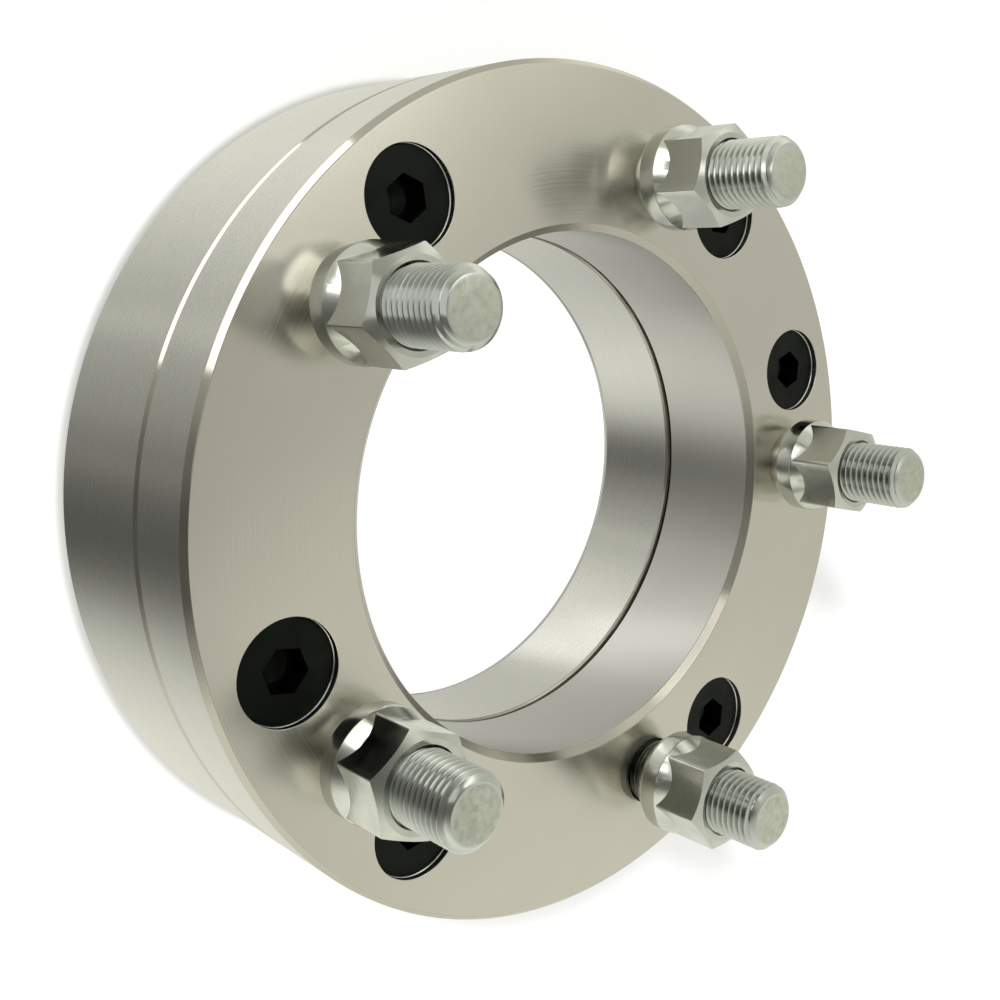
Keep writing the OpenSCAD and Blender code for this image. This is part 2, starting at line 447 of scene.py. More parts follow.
def set_at(axis: Vector, height: float, turn: float) -> Matrix:
    """Matrix for a turn in degrees about an axis in metres, at a height in millimetres."""
    return Matrix.Translation((axis.x, axis.y, height * MM)) @ Matrix.Rotation(math.radians(turn), 4, "Z")


def axes_of(stem: str) -> list[Vector]:
    """Axes, in metres, of the CAD nodes whose names start with a stem, in order."""
    return [place_of(node).xy for node in sorted(frame["nodes"]) if node.startswith(stem)]


@dataclass(frozen=True)
class TurnedAluminium:
    """Bare aluminium turned on a lathe: fine rings draw every highlight out across them."""

    name: str
    colour: str
    roughness: float
    anisotropy: float
    # Spacing and height of the tool's feed marks, drawn coarser than the real 0.15 mm so that they show
    feed_mm: float = 0.75
    feed_depth: float = 0.001
    # Chance differences between the rings
    ring_mm: float = 0.45
    ring_depth: float = 0.006
    cloud_mm: float = 14.0
    dark_share: float = 0.93
    # Least and most roughness, as shares of the usual one
    rough_span: Pair = (0.9, 1.1)

    def build(self) -> bpy.types.Material:
        """Make the material.

        Returns:
            The new material.
        """
        material, tree = new_material(self.name)
        place = add_node(tree, "ShaderNodeTexCoord").outputs["Object"]
        split = add_node(tree, "ShaderNodeSeparateXYZ", {0: place})
        flat = add_node(tree, "ShaderNodeVectorMath", {0: place, 1: (1.0, 1.0, 0.0)}, operation="MULTIPLY")
        radius = add_node(tree, "ShaderNodeVectorMath", {0: flat.outputs[0]}, operation="LENGTH")
        along = worked_out(tree, "ADD", radius.outputs["Value"], split.outputs["Z"])
        phase = worked_out(tree, "MULTIPLY", along, math.tau / (self.feed_mm * MM))
        feed = worked_out(tree, "SINE", phase)
        rings = add_node(tree, "ShaderNodeTexNoise",
                         {"W": along, "Scale": 1 / (self.ring_mm * MM), "Detail": 3.0, "Roughness": 0.65},
                         noise_dimensions="1D").outputs["Fac"]
        chance = worked_out(tree, "MULTIPLY", rings, self.ring_depth)
        height = worked_out(tree, "MULTIPLY_ADD", feed, self.feed_depth, chance)
        cloud = noise(tree, place, self.cloud_mm)
        tone = clouded(tree, cloud, self.colour, self.dark_share)
        low, high = self.rough_span
        rough = ranged(tree, rings, NOISE_SPAN, (low * self.roughness, high * self.roughness))
        tangent = add_node(tree, "ShaderNodeTangent", direction_type="RADIAL", axis="Z")
        skin_metal(tree, height, {"Base Color": tone, "Roughness": rough, "Anisotropic": self.anisotropy,
                                  "Anisotropic Rotation": ACROSS, "Tangent": tangent.outputs[0]})
        return material


@dataclass(frozen=True)
class PlainMetal:
    """Metal with an even skin: plated or blackened steel, or a drilled wall."""

    name: str
    colour: str
    roughness: float
    # Size and height of the skin's grain, and of its wide waves
    grain_mm: float = 0.5
    grain_depth: float = 0.004
    cloud_mm: float = 6.0
    wave_depth: float = 0.0
    dark_share: float = 0.85
    # Colour of the painted shade, partly residue, in the grooves and hollows that a mesh marks, where it has
    # any
    groove_shade_colour: str | None = None
    # Least and most roughness, as shares of the usual one
    rough_span: Pair = (0.7, 1.4)

    def build(self) -> bpy.types.Material:
        """Make the material.

        Returns:
            The new material.
        """
        material, tree = new_material(self.name)
        place = add_node(tree, "ShaderNodeTexCoord").outputs["Object"]
        grain = noise(tree, place, self.grain_mm, detail=4.0, roughness=0.6)
        cloud = noise(tree, place, self.cloud_mm)
        tone = clouded(tree, cloud, self.colour, self.dark_share)
        # Painted shade, partly residue, where the mesh marks grooves and hollows
        if self.groove_shade_colour:
            groove = add_node(tree, "ShaderNodeAttribute", attribute_name=GROOVE_SHADE)
            tone = mixed(tree, groove.outputs["Fac"], tone, to_linear(self.groove_shade_colour))
        low, high = self.rough_span
        rough = ranged(tree, cloud, NOISE_SPAN, (low * self.roughness, high * self.roughness))
        waves = worked_out(tree, "MULTIPLY", cloud, self.wave_depth)
        height = worked_out(tree, "MULTIPLY_ADD", grain, self.grain_depth, waves)
        skin_metal(tree, height, {"Base Color": tone, "Roughness": rough})
        return material


Finish = TurnedAluminium | PlainMetal

# Warm grey satin face, with faint rings and soft dark reflections of the nuts
TURNED_FACE = TurnedAluminium("turned_aluminium_face", "#c9c6be", 0.24, 0.65, feed_depth=0.0006,
                              ring_depth=0.004)
# Silver rim, on which the lights draw out to broad upright bands
TURNED_RIM = TurnedAluminium("turned_aluminium_rim", "#c4c4c1", 0.28, 0.9, ring_depth=0.004)
# Silver bore of the hub plate, with the same bands turned inside out
TURNED_BORE = TurnedAluminium("turned_aluminium_bore", "#cacac8", 0.26, 0.9)
# Duller bore of the wheel plate, from a coarser cut
COARSE_BORE = TurnedAluminium("coarse_turned_aluminium_bore", "#c4c4c3", 0.34, 0.9, ring_depth=0.008)
# Bright narrow chamfers, white or dark with what they face
TURNED_EDGE = TurnedAluminium("turned_aluminium_chamfer", "#b5b2a9", 0.16, 0.8, ring_depth=0.004)
# Dull dark line painted along the joint of the plates in the bore: painted shade, partly dirt
JOINT_SHADE_AND_DIRT = PlainMetal("soiled_aluminium_joint", "#6a6a66", 0.6)
# Plain shiny walls of the drilled holes
DRILLED = PlainMetal("drilled_aluminium", "#c6c6c2", 0.22)
# Shiny, slightly wavy silver of the nuts, with painted shade inside their threaded holes
BRIGHT_ZINC = PlainMetal("bright_zinc_plate", "#ced1ca", 0.18, cloud_mm=5.0, wave_depth=0.05,
                         dark_share=0.72, groove_shade_colour="#23241f")
# The nuts' seats, in their zinc painted lighter as painted light, which also lightens their reflection in the
# face; dark only where they meet the face
SEAT_ZINC_PAINTED_LIGHTER = PlainMetal("bright_zinc_plate_seat", "#dee0d8", 0.2)
# Silver threads with bright crests, and painted shade, partly residue, in their roots and all round them under
# the nuts
ROLLED_ZINC = PlainMetal("rolled_thread_zinc_plate", "#c6cac6", 0.20, groove_shade_colour="#2a2b25")
# Matt speckled grey of the sheared stud ends
SHEARED_ZINC = PlainMetal("stud_end_zinc_plate", "#c5c9be", 0.5, grain_mm=0.8, grain_depth=0.024,
                          cloud_mm=1.2, dark_share=0.88)
# Satin black of the screws, with hardly any shine
BLACK_OXIDE = PlainMetal("black_oxide_steel", "#1f221f", 0.42)


def paint(piece: Piece, finishes: Sequence[Finish],
          choose: Callable[[bpy.types.MeshPolygon], int]) -> None:
    """Give a piece its finishes, face by face.

    Args:
        piece: The piece.
        finishes: Its finishes, in slot order.
        choose: Gives the slot number of a face.
    """
    piece.data.materials.clear()
    for finish in finishes:
        piece.data.materials.append(bpy.data.materials.get(finish.name) or finish.build())
    for face in piece.data.polygons:
        face.material_index = choose(face)


@dataclass
class Plates:
    """The hub plate and the wheel plate: two turned rings with drilled holes, in millimetres."""

    layout: Layout
    edge_chamfer: float = 1.0
    bore_chamfer: float = 1.5
    hub_bore_chamfer: float = 1.0
    seam_chamfer: float = 0.4
    # Wider than in the source, as the photograph shows the rim
    rim_seam_chamfer: float = 0.9
    bore_seam_chamfer: float = 0.8
    spigot_r: float = 58.0
    spigot_len: float = 9.0
    spigot_gap: float = 0.05
    spigot_end_gap: float = 0.5
    # Width of the part of the hub plate's chamfer at the joint that is left without the painted dark line
    unpainted_lip: float = 0.42
    edge_break: float = 0.08
    pocket_r: float = 13.0
    pocket_floor: float = 13.0
    hub_seat_r: float = 11.0
    hub_seat_angle: float = 60.0
    hub_hole_chamfer: float = 0.6
    tap_r: float = 5.49
    tap_mouth_r: float = 6.4
    tap_floor: float = 11.5
    tap_point: float = 3.3
    stud_hole_r: float = 7.45
    head_recess_r: float = 10.75
    head_recess_top: float = 37.25
    screw_hole_r: float = 6.75
    countersink_r: float = 9.9
    countersink_wall: float = 1.3
    # How far a cutter reaches past what it cuts
    past: float = 2.0
    # From these shares of the axis in its normal on, a face counts as flat or as sloped
    flat_z: float = 0.95
    slope_z: float = 0.2
    # Edges that turn by more than this, in degrees, are shaded sharp, so the chamfers stay flat
    flat_deg: float = 8.0
    ring_segments: int = 360
    hole_segments: int = 96

    def hub_blank(self) -> Shape:
        """Turn the hub plate with its counterbore, before drilling.

        Returns:
            The closed shape.
        """
        rim, wall, seam = self.layout.rim_r, self.layout.bore_r, self.layout.seam_z
        step_r, step_z = self.spigot_r + self.spigot_gap, seam - self.spigot_len - self.spigot_end_gap
        return turned((
            (wall, self.hub_bore_chamfer), (wall + self.hub_bore_chamfer, 0), (rim - self.edge_chamfer, 0),
            (rim, self.edge_chamfer), (rim, seam - self.rim_seam_chamfer),
            (rim - self.rim_seam_chamfer, seam), (step_r + self.seam_chamfer, seam),
            (step_r, seam - self.seam_chamfer), (step_r, step_z), (wall + self.bore_seam_chamfer, step_z),
            (wall + self.unpainted_lip, step_z - self.bore_seam_chamfer + self.unpainted_lip),
            (wall, step_z - self.bore_seam_chamfer),
        ), self.ring_segments, self.edge_break)

    def wheel_blank(self) -> Shape:
        """Turn the wheel plate with its spigot, before drilling.

        Returns:
            The closed shape.
        """
        rim, wall = self.layout.rim_r, self.layout.bore_r
        seam, face = self.layout.seam_z, self.layout.face_z
        end = seam - self.spigot_len
        return turned((
            (wall, end + self.bore_seam_chamfer), (wall + self.bore_seam_chamfer, end),
            (self.spigot_r - self.seam_chamfer, end), (self.spigot_r, end + self.seam_chamfer),
            (self.spigot_r, seam), (rim - self.rim_seam_chamfer, seam), (rim, seam + self.rim_seam_chamfer),
            (rim, face - self.edge_chamfer), (rim - self.edge_chamfer, face),
            (wall + self.bore_chamfer, face), (wall, face - self.bore_chamfer),
        ), self.ring_segments, self.edge_break)

    def drilled(self, profile: Profile, places: Iterable[Pair]) -> Shape:
        """Make the cutter for a set of like holes.

        Args:
            profile: Section of one hole.
            places: Axes of the holes.

        Returns:
            All the cutters.
        """
        return gathered((turned(profile, self.hole_segments), Matrix.Translation((x, y, 0)))
                        for x, y in places)

    def hub_stud_holes(self) -> Shape:
        """Make the cutters for the hub's studs and for the nuts on them.

        Returns:
            All the cutters.
        """
        hole, top = self.layout.hub_hole_r, self.layout.seam_z + self.past
        seat_slope = math.tan(math.radians(self.hub_seat_angle / 2))
        seat_z = self.pocket_floor - (self.hub_seat_r - hole) / seat_slope
        mouth = hole + self.hub_hole_chamfer
        return self.drilled((
            (0, -self.past), (mouth, -self.past), (mouth, 0), (hole, self.hub_hole_chamfer), (hole, seat_z),
            (self.hub_seat_r, self.pocket_floor), (self.pocket_r, self.pocket_floor), (self.pocket_r, top),
            (0, top),
        ), self.hub_places())

    def hub_places(self) -> list[Pair]:
        """Find the axes of the hub's stud holes, midway between the wheel studs.

        Returns:
            X and Y of each axis, in metres.
        """
        studs = axes_of("wheel_stud_")
        first, count = studs[0], len(studs)
        turns = [math.atan2(first.y, first.x) + math.tau * (i + 0.5) / count for i in range(count)]
        circle = self.layout.hub_circle_r * MM
        return [(circle * math.cos(a), circle * math.sin(a)) for a in turns]

    def pocket_reliefs(self) -> Shape:
        """Make the cutters that keep the spigot out of the nut pockets.

        Returns:
            All the cutters.
        """
        low, top = self.layout.seam_z - self.spigot_len - self.past, self.layout.seam_z + self.edge_break
        section = ((0, low), (self.pocket_r, low), (self.pocket_r, top), (0, top))
        return self.drilled(section, self.hub_places())

    def tapped_holes(self) -> Shape:
        """Make the cutters for the holes that the screws are threaded into.

        Returns:
            All the cutters.
        """
        seam, top = self.layout.seam_z, self.layout.seam_z + self.past
        return self.drilled((
            (0, self.tap_floor - self.tap_point), (self.tap_r, self.tap_floor),
            (self.tap_r, seam - (self.tap_mouth_r - self.tap_r)), (self.tap_mouth_r, seam),
            (self.tap_mouth_r, top), (0, top),
        ), axes_of("screw_"))

    def stud_holes(self) -> Shape:
        """Make the cutters for the wheel studs and their heads.

        Returns:
            All the cutters.
        """
        low, high = self.layout.seam_z - self.past, self.layout.face_z + self.past
        return self.drilled((
            (0, low), (self.head_recess_r, low), (self.head_recess_r, self.head_recess_top),
            (self.stud_hole_r, self.head_recess_top), (self.stud_hole_r, high), (0, high),
        ), axes_of("wheel_stud_"))

    def countersinks(self) -> Shape:
        """Make the cutters for the screws and their countersunk heads.

        Returns:
            All the cutters.
        """
        low, face = self.layout.seam_z - self.past, self.layout.face_z
        cone = face - self.countersink_wall
        lip = self.countersink_r + self.edge_break
        return self.drilled((
            (0, low), (self.screw_hole_r, low),
            (self.screw_hole_r, cone - (self.countersink_r - self.screw_hole_r)), (self.countersink_r, cone),
            (self.countersink_r, face - self.edge_break), (lip, face), (lip, face + self.past),
            (0, face + self.past),
        ), axes_of("screw_"))

    def dress(self, plate: Piece, bore: TurnedAluminium) -> None:
        """Give the lathe's faces their rings, and the drilled walls a plain skin.

        Args:
            plate: The plate.
            bore: The finish of its bore.
        """
        rim, wall = self.layout.rim_r * MM, self.layout.bore_r * MM
        # Faces this near to the rim or the bore belong to it
        slack = 2 * self.bore_chamfer * MM
        ends = (0.0, self.layout.seam_z * MM, self.layout.face_z * MM)
        joint_top = (self.layout.seam_z - self.spigot_len + self.bore_seam_chamfer) * MM
        joint_low = joint_top - (self.spigot_end_gap + 2 * self.bore_seam_chamfer - self.unpainted_lip) * MM

        def choose(face: bpy.types.MeshPolygon) -> Skin:
            """Choose the finish of one face.

            Args:
                face: The face.

            Returns:
                Its finish.
            """
            radius, height = face.center.xy.length, face.center.z
            sloped = abs(face.normal.z) > self.slope_z
            # The plates' chamfers at the joint in the bore take the dark line of painted shade, partly dirt
            if radius < wall + slack and sloped and joint_low < height < joint_top:
                return Skin.JOINT
            if abs(face.normal.z) > self.flat_z and min(abs(height - z) for z in ends) < WELD:
                return Skin.FACE
            if wall + slack < radius < rim - slack:
                return Skin.DRILLED
            if sloped:
                return Skin.EDGE
            return Skin.RIM if radius > rim - slack else Skin.BORE

        paint(plate, (TURNED_FACE, TURNED_RIM, bore, TURNED_EDGE, DRILLED, JOINT_SHADE_AND_DIRT), choose)
        shade(plate, self.flat_deg)

    def build(self) -> None:
        """Make both plates."""
        hub = as_piece("hub_plate_turned", self.hub_blank())
        work(hub, self.hub_stud_holes(), Cut.CARVE)
        work(hub, self.tapped_holes(), Cut.CARVE)
        wheel = as_piece("wheel_plate_turned", self.wheel_blank())
        work(wheel, self.pocket_reliefs(), Cut.CARVE)
        work(wheel, self.stud_holes(), Cut.CARVE)
        work(wheel, self.countersinks(), Cut.CARVE)
        for plate, node, bore in ((hub, "hub_plate", TURNED_BORE), (wheel, "wheel_plate", COARSE_BORE)):
            self.dress(plate, bore)
            hand_in(plate, node, Slot.PLATE)


@dataclass
class StudsAndNuts:
    """Wheel studs with a true thread, and the lug nuts on them, in millimetres above the wheel face."""

    layout: Layout
    pitch: float = 1.5
    reach: float = 35.0
    end_chamfer: float = 1.55
    end_break: float = 0.45
    knurl_r: float = 7.4
    knurl_top: float = -4.55
    head_r: float = 10.5
    head_top: float = -13.55
    head_foot: float = -17.55
    thread_gap: float = 0.06
    # How dark the painted shade, partly residue, in the thread's roots is, and the height above the wheel face
    # up to which painted shade under the nut darkens all of a stud
    root_share: float = 0.35
    painted_shade_top: float = 4.0
    nut_flats: float = 18.8
    nut_height: float = 20.5
    collar_r: float = 10.95
    collar_top: float = 8.5
    shoulder_h: float = 3.0
    seat_r: float = 7.7
    seat_angle: float = 70.0
    top_r: float = 8.5
    top_angle: float = 30.0
    mouth_r: float = 7.45
    edge_break: float = 0.12
    corner_round: float = 0.3
    nut_turns: tuple[float, ...] = (21, 0, 31, 30, 52)
    # How far a cutter reaches past what it cuts, the thread into the knurl, and the end's tool off the crests
    past: float = 1.0
    overlap: float = 0.5
    clear: float = 0.3
    # Shares of the axis in its normal from which a face is a stud's end, or below which it is a nut's seat
    end_z: float = 0.9
    seat_z: float = -0.3
    # How far a face of a stud's end may lie below its tip
    end_slack: float = 0.01
    stud_segments: int = 96
    nut_segments: int = 144

    def stud_shape(self) -> Piece:
        """Make one stud on the Z axis, with the wheel face at zero.

        Returns:
            The stud.
        """
        crest, tip = self.layout.stud_r, self.reach
        stud = as_piece("stud", threaded_bar(crest, self.pitch, self.knurl_top - self.past, tip + self.past))
        foot, wide = self.knurl_top - self.overlap, crest + self.clear
        work(stud, turned((
            (0, foot), (wide, foot), (wide, tip - self.end_chamfer - self.clear),
            (crest - self.end_chamfer, tip), (0, tip),
        ), self.stud_segments, self.end_break), Cut.KEEP)
        work(stud, turned((
            (0, self.head_foot), (self.head_r, self.head_foot), (self.head_r, self.head_top),
            (self.knurl_r, self.head_top), (self.knurl_r, self.knurl_top), (0, self.knurl_top),
        ), self.stud_segments, self.edge_break), Cut.JOIN)
        threaded = tip - self.end_chamfer - self.end_break

        def groove(radius: float, height: float) -> float:
            """Find how much painted shade a place on the stud gets, in the thread's roots and all round near
            and below the wheel face.

            Args:
                radius: Its radius in millimetres.
                height: Its height in millimetres.

            Returns:
                Its share of painted shade, where 1 or more is darkest.
            """
            if not self.knurl_top < height < threaded:
                return 0.0
            return max(self.root_share * (crest - radius) / self.thread_depth, 1 - height / self.painted_shade_top)

        # Painted shade in the thread's roots, partly residue, and all round the stud under its nut and inside
        # the plate
        mark_groove_shade(stud, groove)
        return stud

    @property
    def thread_depth(self) -> float:
        """Depth of the thread from its crests to its roots."""
        return THREAD_DEPTH * self.pitch

    def nut_shape(self) -> Piece:
        """Make one nut on the Z axis, with its seat at zero and a corner towards +X.

        Returns:
            The nut.
        """
        top, flat_r, shoulder_z = self.nut_height, self.nut_flats / 2, self.collar_top + self.shoulder_h
        wide, over = self.collar_r + self.past, self.nut_height + self.past
        seat_h = (self.collar_r - self.seat_r) / math.tan(math.radians(self.seat_angle / 2))
        drop = (wide - self.top_r) * math.tan(math.radians(self.top_angle))
        nut = as_piece("nut", hexagon_bar(self.nut_flats, seat_h, over, self.corner_round))
        work(nut, turned((
            (0, 0), (wide, 0), (wide, top - drop), (self.top_r, top), (0, top),
        ), self.nut_segments), Cut.KEEP)
        work(nut, turned((
            (0, 0), (self.seat_r, 0), (self.collar_r, seat_h), (self.collar_r, self.collar_top),
            (flat_r, shoulder_z), (flat_r - self.past, shoulder_z), (0, shoulder_z),
        ), self.nut_segments, self.edge_break), Cut.JOIN)
        bore = self.layout.stud_r - self.thread_depth
        work(nut, turned((
            (0, -self.past), (self.mouth_r, -self.past), (self.mouth_r, 0), (bore, self.mouth_r - bore),
            (bore, top - self.mouth_r + bore), (self.mouth_r, top), (self.mouth_r, over), (0, over),
        ), self.stud_segments), Cut.CARVE)
        work(nut, threaded_bar(self.layout.stud_r + self.thread_gap, self.pitch, -self.past, over), Cut.CARVE)
        # Painted shade inside the nut's threaded hole, darkest where it is narrowest
        mark_groove_shade(nut, lambda radius, height: (self.mouth_r - radius) / (self.mouth_r - bore))
        return nut

    def build(self) -> None:
        """Place a stud and a nut at each place, with their threads in step."""
        stud, nut = self.stud_shape(), self.nut_shape()
        for index, turn in enumerate(self.nut_turns, start=1):
            axis = place_of(f"wheel_stud_{index}").xy
            nut_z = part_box(f"lug_nut_{index}")[0][2] / MM - self.layout.face_z
            self.place(nut, f"lug_nut_{index}", axis, self.layout.face_z + nut_z, turn, Slot.NUT)
            in_step = turn - 360 * nut_z / self.pitch
            self.place(stud, f"wheel_stud_{index}", axis, self.layout.face_z, in_step, Slot.STUD)
        for pattern in (stud, nut):
            mesh = pattern.data
            bpy.data.objects.remove(pattern)
            bpy.data.meshes.remove(mesh)

    def place(self, pattern: Piece, node: str, axis: Vector, height: float, turn: float, slot: Slot) -> None:
        """Copy a stud or a nut to its place and dress it.

        Args:
            pattern: The piece to copy.
            node: The CAD node that the copy replaces.
            axis: Its axis, in metres.
            height: Height of its zero, in millimetres.
            turn: Its turn about the axis, in degrees.
            slot: The record's material slot.
        """
        mesh = pattern.data.copy()
        mesh.transform(set_at(axis, height, turn))
        piece = bpy.data.objects.new(f"{node}_plated", mesh)
        mesh.name = piece.name
        bpy.context.scene.collection.objects.link(piece)
        end = (self.layout.face_z + self.reach - self.end_slack) * MM
        if slot is Slot.STUD:
            paint(piece, (ROLLED_ZINC, SHEARED_ZINC),
                  lambda face: int(face.normal.z > self.end_z and face.center.z > end))
        else:
            # The nuts' seats take their zinc painted lighter, as painted light
            paint(piece, (BRIGHT_ZINC, SEAT_ZINC_PAINTED_LIGHTER), lambda face: int(face.normal.z < self.seat_z))
        shade(piece)
        hand_in(piece, node, slot)


@dataclass
class Screws:
    """Black countersunk socket screws, in millimetres below the wheel face."""

    layout: Layout
    sink: float = 1.3
    length: float = 35.0
    head_r: float = 9.6
    rim_h: float = 0.3
    shank_r: float = 6.0
    thread_r: float = 5.43
    end_chamfer: float = 0.87
    key: float = 8.0
    key_depth: float = 5.0
    drill_r: float = 3.2
    drill_point: float = 1.8
    edge_break: float = 0.1
    turns: tuple[float, ...] = (34, 35, 9, 51, 3, 21)
    # How far a cutter reaches past what it cuts
    past: float = 1.0
    segments: int = 96
    drill_segments: int = 48

    def build(self) -> None:
        """Make each screw in its place."""
        top = self.layout.face_z - self.sink
        cone = top - self.rim_h
        foot = top - self.length
        floor, over = top - self.key_depth, top - self.key_depth + self.past
        seam = self.layout.seam_z
        for index, turn in enumerate(self.turns, start=1):
            node = f"screw_{index}"
            piece = as_piece(f"{node}_blackened", turned((
                (0, foot), (self.thread_r - self.end_chamfer, foot),
                (self.thread_r, foot + self.end_chamfer), (self.thread_r, seam), (self.shank_r, seam),
                (self.shank_r, cone - self.head_r + self.shank_r), (self.head_r, cone), (self.head_r, top),
                (0, top),
            ), self.segments, self.edge_break))
            work(piece, hexagon_bar(self.key, floor, top + self.past), Cut.CARVE)
            work(piece, turned((
                (0, floor - self.drill_point), (self.drill_r, floor), (self.drill_r, over), (0, over),
            ), self.drill_segments), Cut.CARVE)
            piece.data.transform(set_at(place_of(node).xy, 0, turn))
            paint(piece, (BLACK_OXIDE,), lambda face: 0)
            shade(piece)
            hand_in(piece, node, Slot.SCREW)


@dataclass
class Studio:
    """White floor, soft lamps and the camera, in millimetres and degrees."""

    eye: Triple = (-98.998, -152.433, 237.202)
    turn: Triple = (-7.406, -43.656, 72.510)
    lens: float = 44.5
    sensor: float = 36.0
    # The nearest that the camera sees
    nearest: float = 10.0
    shift: Pair = (-0.0940, -0.0772)
    floor_size: float = 6000.0
    # What the camera sees added to the floor: inside the bore, painted light that whitens the floor's shade
    # there, and outside
    bore_painted_light: float = 0.75
    floor_lift: float = 0.10
    bore_r: float = 55.0
    # Radii between which the floor's shadow beside the rim fades out
    shadow_rs: Pair = (89.0, 90.5)
    # Radii over which a painted contact shadow on the paper fades out beside the part, and the colours of the
    # paper in that painted shadow and elsewhere
    painted_shadow_rs: Pair = (88.9, 91.0)
    painted_shadow_colour: str = "#c8c8c6"
    paper_colour: str = "#e8e8e6"
    # What the camera sees added far off, and the radii between which it comes in
    far_lift: float = 0.8
    far_rs: Pair = (450.0, 1400.0)
    sky_level: float = 0.75
    tent_r: float = 235.0
    tent_level: float = 1.35
    tent_colour: str = "#fefef1"
    tent_segments: tuple[int, int] = (64, 32)
    # Heights between which the tent goes over to its upper wall, roof and top, as shares of its radius
    upper_hs: Pair = (-0.4, 0.2)
    roof_hs: Pair = (0.55, 0.85)
    top_hs: Pair = (0.96, 1.0)
    # Azimuth, and the share of the tent's level on its lower and upper wall and its roof
    lower_levels: Levels = (
        (-180, 0.88), (-167, 0.75), (-145, 0.49), (-141, 0.66), (-137, 0.45), (-121, 0.34), (-113, 0.24),
        (-110, 0.28), (-107, 0.19), (-98, 0.11), (-89, 0.11), (-86, 0.20), (-84, 0.16), (-77, 0.50),
        (-66, 0.74), (-56, 0.84), (-45, 0.92), (-34, 0.84), (-18, 0.71), (90, 0.66), (120, 0.60), (145, 0.80),
        (165, 0.92), (180, 0.88))
    upper_levels: Levels = (
        (-180, 0.64), (-152, 0.42), (-135, 0.42), (-126, 0.38), (-119, 0.20), (-107, 0.11), (-92, 0.13),
        (-83, 0.45), (-74, 0.86), (-58, 0.96), (-45, 0.88), (-20, 0.78), (34, 0.70), (47, 0.63), (80, 0.56),
        (118, 0.62), (127, 1.0), (135, 1.0), (146, 0.64), (180, 0.64))
    roof_levels: Levels = (
        (-180, 0.30), (-154, 0.28), (-115, 0.17), (-95, 0.14), (-78, 0.14), (-62, 0.30), (-49, 0.48),
        (-26, 0.60), (34, 0.70), (47, 0.63), (80, 0.52), (95, 0.53), (114, 0.60), (132, 0.82), (150, 0.86),
        (166, 0.45), (180, 0.30))
    top_level: float = 0.46
    strip_colour: str = "#fffef8"
    # Level and corners of the strip lamps, which the outer chamfer, the bore's chamfer, the flats of the nuts
    # and, below the part, the bores mirror
    strips: tuple[tuple[float, tuple[Triple, ...]], ...] = (
        (3.0, ((-226, -12, 40), (-148, -171, 40), (-128, -147, 122), (-204, -11, 106))),
        (2.4, ((-108, 104, 175), (-98, -21, 207), (-70, -15, 218), (-85, 82, 198))),
        (0.85, ((-175, -82, 127), (-72, -179, 127), (-41, -102, 203), (-99, -46, 203))),
        (2.0, ((-18, 22, -40), (-14, 40, -40), (-90, 26, -40), (-90, -2, -40))),
        (2.0, ((-26, 35, -110), (-18, 53, -110), (-88, 88, -110), (-96, 70, -110))),
        (0.62, ((122, -22, -110), (185, -30, -110), (150, 125, -110), (95, 85, -110))))
    # Name, place, width and power in watts of the soft lamps
    lamps: tuple[tuple[str, Triple, float, float], ...] = (
        ("key", (-720, -528, 798), 120, 9), ("fill", (500, -700, 900), 700, 5))

    def camera(self) -> None:
        """Set the camera at the photograph's view."""
        data = bpy.data.cameras.new("view")
        data.lens = self.lens
        data.sensor_width = self.sensor
        data.shift_x, data.shift_y = self.shift
        data.clip_start = self.nearest * MM
        view = bpy.data.objects.new("view", data)
        view.matrix_world = (Matrix.Translation(Vector(self.eye) * MM)
                             @ Euler([math.radians(a) for a in self.turn], "XYZ").to_matrix().to_4x4())
        bpy.context.scene.collection.objects.link(view)
        bpy.context.scene.camera = view

    def floor(self) -> None:
        """Lay the white floor, with a painted contact shadow beside the part and painted light inside the
        bore; metal mirrors the tent in its place.
        """
        shape = bmesh.new()
        bmesh.ops.create_grid(shape, x_segments=1, y_segments=1, size=self.floor_size * MM / 2)
        floor = as_piece("floor", shape)
        material, tree = new_material("white_floor")
        path = add_node(tree, "ShaderNodeLightPath")
        place = add_node(tree, "ShaderNodeTexCoord").outputs["Object"]
        radius = add_node(tree, "ShaderNodeVectorMath", {0: place}, operation="LENGTH").outputs["Value"]
        # Painted contact shadow: the paper is darker just beside the part
        clear = ranged(tree, radius, self.in_metres(self.painted_shadow_rs), smooth=True)
        tone = mixed(tree, clear, to_linear(self.painted_shadow_colour), to_linear(self.paper_colour))
        paper = add_node(tree, "ShaderNodeBsdfDiffuse", {"Color": tone})
        # Painted light inside the bore, which whitens the floor's shade there
        inside = worked_out(tree, "LESS_THAN", radius, self.bore_r * MM)
        level = worked_out(tree, "MULTIPLY", inside, self.bore_painted_light)
        for radii, gain in ((self.shadow_rs, self.floor_lift), (self.far_rs, self.far_lift)):
            outside = ranged(tree, radius, self.in_metres(radii), (0.0, gain), smooth=True)
            level = worked_out(tree, "ADD", level, outside)
        lift = worked_out(tree, "MULTIPLY", path.outputs["Is Camera Ray"], level)
        glow = add_node(tree, "ShaderNodeEmission", {"Color": to_linear(WHITE), "Strength": lift})
        both = add_node(tree, "ShaderNodeAddShader", {0: paper.outputs[0], 1: glow.outputs[0]})
        add_node(tree, "ShaderNodeOutputMaterial", {"Surface": both.outputs[0]})
        floor.data.materials.append(material)
        floor.visible_glossy = False

    @staticmethod
    def in_metres(span: Pair) -> Pair:
        """Turn a pair of millimetres to metres."""
        return (span[0] * MM, span[1] * MM)

